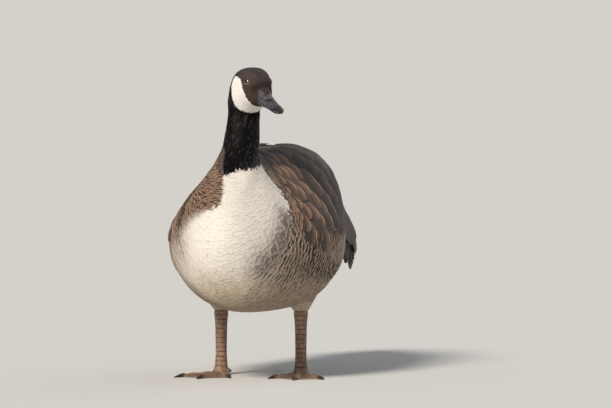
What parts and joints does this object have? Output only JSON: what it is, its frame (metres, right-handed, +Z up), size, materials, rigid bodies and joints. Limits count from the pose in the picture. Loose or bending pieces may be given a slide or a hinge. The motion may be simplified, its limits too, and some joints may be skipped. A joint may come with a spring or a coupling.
{
  "type": "canada goose",
  "caption": "Life-size standing Canada goose with its head turned to its left, folded wings in tiers of vanes, fanned tail and webbed feet",
  "frame": {"origin": "on the floor, under the middle of the whole bird's box", "axes": "-Y the way the breast faces, +Y back along the body to the tail, +X the goose's left, +Z up"},
  "size_m": [0.2226, 0.5886, 0.4106],
  "materials": {
    "body_plumage": "soft matte feathers, cream breast shading to barred grey-brown flanks",
    "wing_plumage": "matte brown feathers with pale buff edges",
    "black_plumage": "black feathers with a faint silky sheen, white cheek patch",
    "bill": "satin horn",
    "eye": "wet gloss",
    "leg_skin": "satin scaly skin"
  },
  "bodies": {
    "root": {"torso": "body_plumage", "neck": "black_plumage", "head": "black_plumage", "eye_left": "eye", "eye_right": "eye", "bill_upper": "bill", "bill_lower": "bill", "tail": "black_plumage", "wing_left": "wing_plumage", "wing_right": "wing_plumage", "thigh_left": "body_plumage", "thigh_right": "body_plumage", "leg_left": "leg_skin", "leg_right": "leg_skin", "foot_left": "leg_skin", "foot_right": "leg_skin"}
  },
  "joints": []
}
